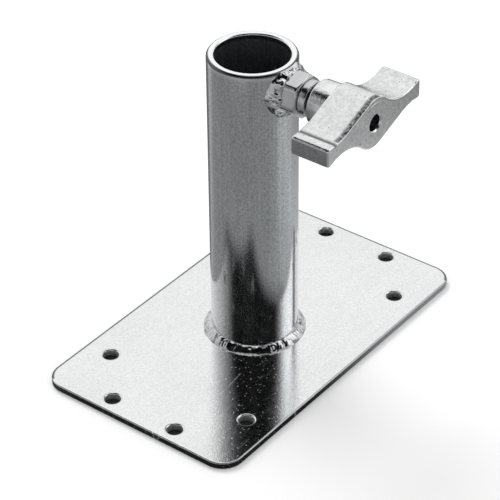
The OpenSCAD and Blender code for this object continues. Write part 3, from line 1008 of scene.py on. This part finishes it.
def thread_tree():
    """Geometry Nodes that roll a grid into a threaded stud with bevelled ends."""
    sizes = [(label, "Float") for label in ("Radius", "Depth", "Pitch", "Length", "Bevel")]
    tree, start, end = new_tree("Threaded stud", "GeometryNodeTree",
                                [("Stud", "Geometry"), *sizes, ("Material", "Material")],
                                [("Stud", "Geometry")])
    around, rows = 64, 300
    crest_rise, crest_drop = 2.6, -0.15
    grid = add_node(tree, "GeometryNodeMeshGrid", {"Size X": 1.0, "Size Y": 1.0, "Vertices X": around + 1,
                                                   "Vertices Y": rows + 1})
    position = tree.nodes.new("GeometryNodeInputPosition").outputs[0]
    spot = add_node(tree, "ShaderNodeSeparateXYZ", {0: position})
    share = math_node(tree, "ADD", spot.outputs[0], 0.5)
    turn = times(tree, share, 2 * math.pi)
    height = times(tree, math_node(tree, "ADD", spot.outputs[1], 0.5), start.outputs["Length"])
    wave = minus(tree, math_node(tree, "DIVIDE", height, start.outputs["Pitch"]), share)
    saw = math_node(tree, "PINGPONG", wave, 0.5)
    crest = times_plus(tree, saw, crest_rise, crest_drop)
    crest = math_node(tree, "MINIMUM", math_node(tree, "MAXIMUM", crest, 0.0), 1.0)
    cut = times(tree, minus(tree, 1.0, crest), start.outputs["Depth"])
    radius = minus(tree, start.outputs["Radius"], cut)
    to_end = math_node(tree, "MINIMUM", height, minus(tree, start.outputs["Length"], height))
    limit = math_node(tree, "ADD", to_end, minus(tree, start.outputs["Radius"], start.outputs["Bevel"]))
    radius = math_node(tree, "MINIMUM", radius, limit)
    place = add_node(tree, "ShaderNodeCombineXYZ", {
        0: times(tree, radius, math_node(tree, "COSINE", turn)),
        1: times(tree, radius, math_node(tree, "SINE", turn)), 2: height})
    named = add_node(tree, "GeometryNodeStoreNamedAttribute", {
        "Geometry": grid.outputs["Mesh"], "Name": "crest", "Value": crest},
        data_type="FLOAT", domain="POINT")
    rolled = add_node(tree, "GeometryNodeSetPosition", {
        "Geometry": named.outputs[0], "Position": place.outputs[0]})
    finish_tree(tree, start, end, rolled.outputs[0])
    return tree


def build_stud(settings):
    """The threaded stud of the clamp screw."""
    hardware = settings.hardware
    metal = screw_metal(hardware.screw_base)
    piece = new_object("threaded_stud", bpy.data.meshes.new("empty_stud"))
    add_nodes(piece, thread_tree(), {
        "Radius": STUD_RADIUS, "Depth": hardware.thread_depth, "Pitch": hardware.thread_pitch,
        "Length": STUD_HIGH[1] - STUD_LOW[1], "Bevel": 1.2 * MM, "Material": metal})
    mesh = settle(piece)
    work = bmesh.new()
    work.from_mesh(mesh)
    open_edges = [e for e in work.edges if e.is_boundary]
    bmesh.ops.holes_fill(work, edges=open_edges, sides=0)
    bmesh.ops.recalc_face_normals(work, faces=work.faces)
    for v in work.verts:
        v.co = on_screw(v.co, -STUD_HIGH[1])
    write_mesh(work, mesh)
    mesh.set_sharp_from_angle(angle=math.radians(40))
    finish_piece(piece, "screw", "screw_steel", metal, "clamp_stud")


def build_hardware(settings):
    """The nut that carries the screw and the ring between nut and handle."""
    metal = bright_metal(settings.hardware.base)
    nut = new_object("hexagon_nut", nut_mesh(settings.hardware))
    finish_piece(nut, "socket", "plated_hardware", metal, "clamp_nut")
    spacer = new_object("spacer", ring_mesh(settings.hardware))
    finish_piece(spacer, "socket", "plated_hardware", metal, "spacer_ring")


# ---------------------------------------------------------------- handle

def furrow_share(x):
    """1 in the shallow furrow that crosses the arm just before its tip, fading to 0 beside it."""
    return math.exp(-((x - FURROW_INSET + HANDLE_HIGH[0]) / FURROW_WIDTH) ** 2)


def furrow_at(x):
    """Depth of that furrow at a place along the arms."""
    return FURROW_DEPTH * furrow_share(x)


def handle_outline(handle, inset):
    """Outline of the casting drawn in by inset: hub, flared side, straight side and arm tips."""
    hub, arm, flare, slope = handle.hub_radius, handle.arm_half, handle.flare_radius, handle.slope
    blend, tip = 20 * MM, handle.edge_radius + 0.4 * MM
    flare_z = arm + flare
    flare_x = math.sqrt((hub + flare) ** 2 - flare_z ** 2)
    corner_x = HANDLE_HIGH[0] - tip
    corner_z = flare_z - math.sqrt((flare + tip) ** 2 - (corner_x - flare_x) ** 2)
    corner_turn = math.degrees(math.atan2(flare_z - corner_z, flare_x - corner_x))
    foot_x = (hub - arm * math.cos(slope)) / math.sin(slope)
    blend_x = -foot_x - blend * math.tan(slope / 2)
    blend_z = arm + blend

    def upper(x):
        """Height of the outline's upper side: flare, hub, straight side, blend and arm."""
        if x > flare_x * (hub - inset) / (hub + flare):
            return flare_z - math.sqrt((flare + inset) ** 2 - (x - flare_x) ** 2)
        if x > -(hub - inset) * math.sin(slope):
            return math.sqrt((hub - inset) ** 2 - x ** 2)
        if x > blend_x + (blend + inset) * math.sin(slope):
            return (hub - inset + x * math.sin(slope)) / math.cos(slope)
        if x > blend_x:
            return blend_z - math.sqrt((blend + inset) ** 2 - (x - blend_x) ** 2) - furrow_at(x)
        return arm - inset - furrow_at(x)

    corner = tip - inset
    start = corner_x + corner * math.cos(math.radians(corner_turn))
    half = arc((corner_x, corner_z), corner, 0, corner_turn, 10)[:-1]
    stations = 180
    half += [(x, upper(x)) for x in (start * (1 - 2 * i / stations) for i in range(stations + 1))]
    half += arc((-corner_x, arm - tip), corner, 90, 180, 9)
    return half + [(-x, -z) for x, z in half]


def casting_blank(handle):
    """The casting's body: its outline stacked from back to front, with rounded edges."""
    work = bmesh.new()
    edge, margin, rows = handle.edge_radius, 0.15 * MM, 20
    cast_at = handle.boss_height - HANDLE_HIGH[1]
    depth = -HANDLE_LOW[1] - cast_at - handle.pad_height
    levels = [(-margin, 0)] + arc((0, edge), edge, -90, 0, 7)
    levels += [(edge, edge + (depth - 2 * edge) * k / rows) for k in range(1, rows)]
    levels += arc((0, depth - edge), edge, 0, 90, 7) + [(-margin, depth)]
    made = add_rings(work, [[on_screw((x, z, up), cast_at) for x, z in handle_outline(handle, edge - out)]
                            for out, up in levels])
    lump_height, lump_size = 0.05 * MM, 7 * MM
    count = len(made[0])
    for cap in (made[0], made[-1]):
        for j in range(count // 2 - 1):
            work.faces.new((cap[j], cap[j + 1], cap[count - 2 - j], cap[count - 1 - j]))
    for v in work.verts:
        near_back = smoothstep(0, 3 * MM, v.co.y - HANDLE_LOW[1])
        v.co.z += lump_height * noise.noise(v.co / lump_size) * near_back
    return tidy_mesh(work, "cast_body", merge=None)


def turned_solid(profile, start, name):
    """A solid turned about the screw's axis, outward from the boss's end, with flat ends."""
    work = bmesh.new()
    add_rings(work, screw_rings(profile, 128, -HANDLE_HIGH[1], start))
    bmesh.ops.holes_fill(work, edges=[edge for edge in work.edges if edge.is_boundary])
    return tidy_mesh(work, name, merge=None)


def boss_blank(handle):
    """The boss on the casting's back and the low pad on its face, turned as one core."""
    boss, pad, soft = handle.boss_radius, handle.pad_radius, 0.9 * MM
    deep = HANDLE_HIGH[1] - HANDLE_LOW[1]
    margin, high = 0.1 * MM, handle.pad_height
    profile = [(boss - soft - margin, 0)] + arc((boss - soft, soft), soft, -90, 0, 7)
    profile += [(boss + margin, handle.boss_height + 0.6 * MM), (pad, handle.boss_height + 2 * MM)]
    profile += [(pad, deep - high)] + arc((pad - 0.1 * MM, deep - high), high, 0, 90, 3)[1:]
    return turned_solid(profile + [(pad - 0.3 * MM, deep)], 0.5, "boss_core")


def bore_tool(handle, hardware):
    """The solid that the drill takes out: the screw's seat, the face hole and its bevel."""
    boss_at = -HANDLE_HIGH[1]
    depth = -HANDLE_LOW[1] - boss_at
    seat, hole, bevel = hardware.seat_radius, handle.hole_radius, 0.5 * MM
    deep = -STUD_LOW[1] - boss_at + 0.05 * MM
    profile = [(seat, -MM), (seat, deep), (hole, deep), (hole, depth - bevel),
               (hole + bevel + MM, depth + MM)]
    return turned_solid(profile, 0.25, "bore_tool")


def cut_or_join(piece, other, operation):
    """Joins another mesh to a piece or cuts it out, and leaves a plain mesh."""
    tool = new_object("tool", other)
    step = piece.modifiers.new(operation.title(), "BOOLEAN")
    step.operation, step.solver, step.object = operation, "EXACT", tool
    settle(piece)
    bpy.data.objects.remove(tool)


def build_handle(settings):
    """The cast T-handle: body, boss and pad joined, then bored for the screw."""
    handle, hardware = settings.handle, settings.hardware
    piece = new_object("cast_handle", casting_blank(handle))
    cut_or_join(piece, boss_blank(handle), "UNION")
    cut_or_join(piece, bore_tool(handle, hardware), "DIFFERENCE")
    mesh = piece.data
    mesh.shade_smooth()
    mesh.set_sharp_from_angle(angle=math.radians(32))
    mark(mesh, "wear", [edge_wear_and_highlight(v) for v in mesh.vertices])
    mark(mesh, "bored", [painted_shade_at(v, handle.hole_radius + 0.05 * MM) for v in mesh.vertices])
    finish_piece(piece, "handle", "handle_casting", cast_metal(handle.base), "t_handle")


def painted_shade_at(vertex, hole):
    """How much painted shade a point of the casting gets: in its hole, in its furrow, along its upper front
    edge and on its left end.
    """
    x, y, z = vertex.co
    left_end, furrow, front_edge = 0.42, 0.9, 0.95
    back = y - HANDLE_LOW[1]
    if math.hypot(x, z - SCREW_HEIGHT) < hole:
        return float(back > 0.8 * MM)
    if vertex.normal.x < -0.9:
        return left_end
    if vertex.normal.z < 0.4 or x > 3 * MM:
        return 0.0
    # Painted shade: a broken dark line along the upper front edge.
    front_edge_shade = smoothstep(0.25 * MM, 0.5 * MM, back) * (1 - smoothstep(1.6 * MM, 2.4 * MM, back))
    front_edge_shade *= smoothstep(5.5 * MM - HANDLE_HIGH[0], 7 * MM - HANDLE_HIGH[0], x)
    broken = 0.9 + 0.5 * noise.noise(vertex.co / (0.9 * MM))
    return max(furrow * furrow_share(x), front_edge * front_edge_shade * broken)


def edge_wear_and_highlight(vertex):
    """How much a point of the casting is lightened, as rubbed metal and as a painted highlight: 1 along its
    edges, 0 on its faces.
    """
    out, end = abs(vertex.normal.y), abs(vertex.normal.x)
    edge = smoothstep(0.25, 0.6, out) * (1 - smoothstep(0.8, 0.97, out))
    if abs(vertex.co.x) < HANDLE_HIGH[0] - 2 * MM:
        return edge
    return max(edge, smoothstep(0.3, 0.6, end) * (1 - smoothstep(0.85, 0.98, end)))


# ---------------------------------------------------------------- stage

def seen_by(tree, *kinds):
    """1 for the named kinds of ray and 0 for all others."""
    rays = add_node(tree, "ShaderNodeLightPath")
    seen = 0.0
    for kind in kinds:
        seen = math_node(tree, "MAXIMUM", seen, rays.outputs[f"Is {kind} Ray"])
    return seen


def stage_world(strength):
    """White all round for the camera; the metal sees it darker towards the camera's side."""
    top = 1.35
    world = bpy.data.worlds.new("studio")
    bpy.context.scene.world = world
    world.use_nodes = True
    tree = world.node_tree
    tree.nodes.clear()
    parts = add_node(tree, "ShaderNodeSeparateXYZ", {
        0: add_node(tree, "ShaderNodeTexCoord").outputs["Generated"]})
    up = parts.outputs[2]
    turn = math_node(tree, "ARCTAN2", parts.outputs[1], parts.outputs[0])
    turn = math_node(tree, "MODULO", math_node(tree, "ADD", turn, 4 * math.pi), 2 * math.pi)
    degrees = times(tree, turn, 180 / math.pi)
    sweep = add_node(tree, "ShaderNodeValToRGB", {0: math_node(tree, "DIVIDE", degrees, 360.0)})
    stops = sweep.color_ramp.elements
    stops[0].color = stops[1].color = (1 / top, 1 / top, 1 / top, 1)
    for at, value in ((58, 1.0), (86, 0.92), (97, 0.80), (119, 0.60), (133, 0.42), (147, 0.20),
                      (160, 0.004), (272, 0.003), (281, 0.12), (290, 0.5), (302, 1.2), (315, top),
                      (334, top), (341, 0.2), (349, 0.2), (354, 1.0)):
        stops.new(at / 360.0).color = (value / top, value / top, value / top, 1)
    # A dark flag stands high up round the camera's side, and a pale haze lies low all round.
    flag = times(tree, ramp(tree, degrees, 92.0, 112.0), ramp(tree, degrees, 306.0, 286.0))
    flag = times(tree, flag, ramp(tree, up, 0.62, 0.70))
    around = times(tree, times(tree, sweep.outputs[0], top), minus(tree, 1.0, flag))
    around = math_node(tree, "MAXIMUM", around, ramp(tree, up, 0.38, 0.27, 0.0, 0.5))
    around = math_node(tree, "MINIMUM", around, ramp(tree, up, 0.43, 0.34, top, 0.88))
    # Straight above, all of it turns white.
    level = minus(tree, 1.0, times(tree, minus(tree, 1.0, around), ramp(tree, up, 0.985, 0.93)))
    shown, mirrored, backdrop = (
        add_node(tree, "ShaderNodeBackground", {"Color": WHITE, "Strength": value}).outputs[0]
        for value in (strength, level, 1.0))
    for share, other in ((seen_by(tree, "Glossy"), mirrored),
                         (seen_by(tree, "Camera", "Transmission"), backdrop)):
        shown = add_node(tree, "ShaderNodeMixShader", {0: share, 1: shown, 2: other}).outputs[0]
    add_node(tree, "ShaderNodeOutputWorld", {"Surface": shown})


def square(half):
    """Outline of a square round the origin."""
    return [(-half, -half), (half, -half), (half, half), (-half, half)]


def flat_sheet(name, outline, level, material):
    """A flat sheet at its level and in its material."""
    mesh = bpy.data.meshes.new(name)
    mesh.from_pydata([(x, y, level) for x, y in outline], [], [range(len(outline))])
    mesh.materials.append(material)
    return new_object(name, mesh)


def stage_floor(stage):
    """The plain pale floor, lifted to the backdrop's white where the camera or metal sees it."""
    material, tree, shader, _ = new_material("pale floor", "ShaderNodeBsdfPrincipled", {
        "Base Color": (*stage.floor, 1.0), "Roughness": 0.8, "Emission Color": WHITE})
    seen = seen_by(tree, "Camera", "Transmission", "Glossy")
    join(tree, times(tree, seen, 0.16), shader.inputs["Emission Strength"])
    floor = flat_sheet("floor", square(stage.floor_size / 2), -0.2 * MM, material)


def plate_distance(tree, place):
    """Distance of a point on the floor from the plate's outline, for the shade close to it."""
    parts = add_node(tree, "ShaderNodeSeparateXYZ", {0: place})
    gaps = []
    for socket, half in zip(parts.outputs, (PLATE_HIGH[0], PLATE_HIGH[1])):
        gap = minus(tree, math_node(tree, "ABSOLUTE", socket), half)
        gap = math_node(tree, "MAXIMUM", gap, 0.0)
        gaps.append(times(tree, gap, gap))
    return math_node(tree, "SQRT", math_node(tree, "ADD", gaps[0], gaps[1]))


def stage_shadow_sheet(plate):
    """A thin black sheet under the plate, a painted shadow, so that its open holes look into the dark."""
    material = new_material("black felt", "ShaderNodeBsdfPrincipled", {
        "Base Color": (0.02, 0.02, 0.02, 1), "Roughness": 1.0})[0]
    felt = flat_sheet("felt", plate_outline(plate, 2 * MM), -0.05 * MM, material)


def stage_card():
    """A grey card on the floor that only the metal's reflections show, darker to one side, with a painted
    shadow close to the plate.
    """
    material, tree, glow, place = new_material("grey card", "ShaderNodeEmission", {})
    level = add_node(tree, "ShaderNodeValToRGB")
    stops = level.color_ramp.elements
    stops[0].color, stops[1].color = (0.42, 0.425, 0.43, 1), (0.26, 0.26, 0.26, 1)
    for position, value in ((0.2, 0.34), (0.333, 0.24), (0.467, 0.255), (0.587, 0.265), (0.64, 0.30),
                            (0.667, 0.36), (0.697, 0.44), (0.747, 0.48), (0.8, 0.53)):
        stops.new(position).color = (value, value * 1.02, value * 1.03, 1)
    spread = add_node(tree, "ShaderNodeMapRange", {
        "Value": along(tree, place, (0.995, 0.1, 0.0)), "From Min": -0.4, "From Max": 0.2})
    join(tree, spread.outputs["Result"], level.inputs[0])
    # Painted shadow: the card darkens close to the plate.
    near = ramp(tree, plate_distance(tree, place), 0.022, 0.0, 0.0, 0.9)
    fade = minus(tree, 1.0, times(tree, near, ramp(tree, along(tree, place, TOWARDS_CAMERA), 0.0, 0.05)))
    heading = add_node(tree, "ShaderNodeVectorMath", {0: place}, operation="NORMALIZE")
    behind = along(tree, heading.outputs[0], (0.588, 0.809, 0.0))
    fade = times(tree, fade, ramp(tree, behind, 0.86, 0.95, 1.0, 0.3))
    join(tree, level.outputs[0], glow.inputs["Color"])
    join(tree, fade, glow.inputs["Strength"])
    card = flat_sheet("grey_card", square(1.5), -0.1 * MM, material)
    card.visible_camera = card.visible_diffuse = card.visible_shadow = False
    card.visible_transmission = card.visible_volume_scatter = False


def stage_lamp(name, place, target, size, power):
    """A large soft area lamp that looks at a point."""
    lamp = bpy.data.lights.new(name, "AREA")
    lamp.shape, lamp.size, lamp.energy = "DISK", size, power
    piece = new_object(name, lamp)
    away = Vector(place) - Vector(target)
    piece.rotation_mode = "QUATERNION"
    piece.rotation_quaternion = away.to_track_quat("Z", "Y")
    piece.location = place
    piece.visible_glossy = False


def stage_camera(stage):
    """The camera at the photographed angle, with its slight tilt."""
    turn, rise, tilt = math.radians(-52.275), math.radians(35.27), math.radians(-0.566)
    aim, distance = Vector((-1.045 * MM, 1.262 * MM, 40 * MM)), 895.807 * MM
    ahead = Vector((-math.sin(turn) * math.cos(rise), math.cos(turn) * math.cos(rise), -math.sin(rise)))
    right = Vector((math.cos(turn), math.sin(turn), 0))
    up = right.cross(ahead)
    right, up = (math.cos(tilt) * right + math.sin(tilt) * up,
                 math.cos(tilt) * up - math.sin(tilt) * right)
    data = bpy.data.cameras.new("camera")
    data.lens, data.sensor_width = stage.focal, 36.0
    data.clip_start, data.clip_end = 0.05, 50.0
    camera = new_object("camera", data)
    camera.matrix_world = Matrix.Translation(aim - ahead * distance) @ Matrix(
        (right, up, -ahead)).transposed().to_4x4()
    bpy.context.scene.camera = camera


def build_stage(settings):
    """Background, floor, painted shadow sheet, grey card, lamp, camera and colour view."""
    stage = settings.stage
    stage_world(stage.world)
    stage_floor(stage)
    stage_card()
    # Painted shadow under the plate, seen through its holes.
    stage_shadow_sheet(settings.plate)
    stage_lamp("key_lamp", (0.35, 0.75, 1.2), (0, 0, 0.05), 0.7, stage.key)
    stage_camera(stage)
    bpy.context.scene.view_settings.view_transform = "Standard"


# ---------------------------------------------------------------- operators

class PLATESOCKET_OT_plate(Operator):
    """Build the satin plate with its punched holes"""

    bl_idname = "plate_socket.plate"
    bl_label = "Plate"

    def execute(self, context):
        build_plate(context.scene.plate_socket)
        return {"FINISHED"}


class PLATESOCKET_OT_tube(Operator):
    """Build the drawn socket tube"""

    bl_idname = "plate_socket.tube"
    bl_label = "Socket tube"

    def execute(self, context):
        build_tube(context.scene.plate_socket)
        return {"FINISHED"}


class PLATESOCKET_OT_welds(Operator):
    """Build the weld beads at the tube's foot and round the nut"""

    bl_idname = "plate_socket.welds"
    bl_label = "Weld beads"

    def execute(self, context):
        build_welds(context.scene.plate_socket)
        return {"FINISHED"}


class PLATESOCKET_OT_hardware(Operator):
    """Build the welded nut and the ring on the screw"""

    bl_idname = "plate_socket.hardware"
    bl_label = "Nut and ring"

    def execute(self, context):
        build_hardware(context.scene.plate_socket)
        return {"FINISHED"}


class PLATESOCKET_OT_stud(Operator):
    """Build the threaded stud of the clamp screw"""

    bl_idname = "plate_socket.stud"
    bl_label = "Clamp screw"

    def execute(self, context):
        build_stud(context.scene.plate_socket)
        return {"FINISHED"}


class PLATESOCKET_OT_handle(Operator):
    """Build the cast T-handle"""

    bl_idname = "plate_socket.handle"
    bl_label = "T-handle"

    def execute(self, context):
        build_handle(context.scene.plate_socket)
        return {"FINISHED"}


class PLATESOCKET_OT_stage(Operator):
    """Set the floor, the light and the camera"""

    bl_idname = "plate_socket.stage"
    bl_label = "Stage"

    def execute(self, context):
        build_stage(context.scene.plate_socket)
        return {"FINISHED"}


class PLATESOCKET_PT_panel(Panel):
    """Lists the settings and the steps of the plate socket"""

    bl_idname = "PLATESOCKET_PT_panel"
    bl_label = "Plate socket"
    bl_space_type = "VIEW_3D"
    bl_region_type = "UI"
    bl_category = "Plate Socket"

    def draw(self, context):
        settings = context.scene.plate_socket
        for operator, group in (
                (PLATESOCKET_OT_plate, settings.plate), (PLATESOCKET_OT_tube, settings.tube),
                (PLATESOCKET_OT_welds, settings.weld), (PLATESOCKET_OT_hardware, settings.hardware),
                (PLATESOCKET_OT_stud, None), (PLATESOCKET_OT_handle, settings.handle),
                (PLATESOCKET_OT_stage, settings.stage)):
            box = self.layout.box()
            box.operator(operator.bl_idname)
            if group:
                for name in group.__annotations__:
                    box.prop(group, name)


CLASSES = (PlateSettings, TubeSettings, WeldSettings, HardwareSettings, HandleSettings, StageSettings,
           SocketSettings, PLATESOCKET_OT_plate, PLATESOCKET_OT_tube, PLATESOCKET_OT_welds,
           PLATESOCKET_OT_hardware, PLATESOCKET_OT_stud, PLATESOCKET_OT_handle, PLATESOCKET_OT_stage,
           PLATESOCKET_PT_panel)


def register():
    """Registers the settings, the operators and the panel."""
    for item in CLASSES:
        bpy.utils.register_class(item)
    bpy.types.Scene.plate_socket = PointerProperty(type=SocketSettings)


def unregister():
    """Takes them out again."""
    del bpy.types.Scene.plate_socket
    for item in reversed(CLASSES):
        bpy.utils.unregister_class(item)


def main():
    register()
    bpy.ops.plate_socket.plate()
    bpy.ops.plate_socket.tube()
    bpy.ops.plate_socket.welds()
    bpy.ops.plate_socket.hardware()
    bpy.ops.plate_socket.stud()
    bpy.ops.plate_socket.handle()
    bpy.ops.plate_socket.stage()


if __name__ == "__main__":
    main()
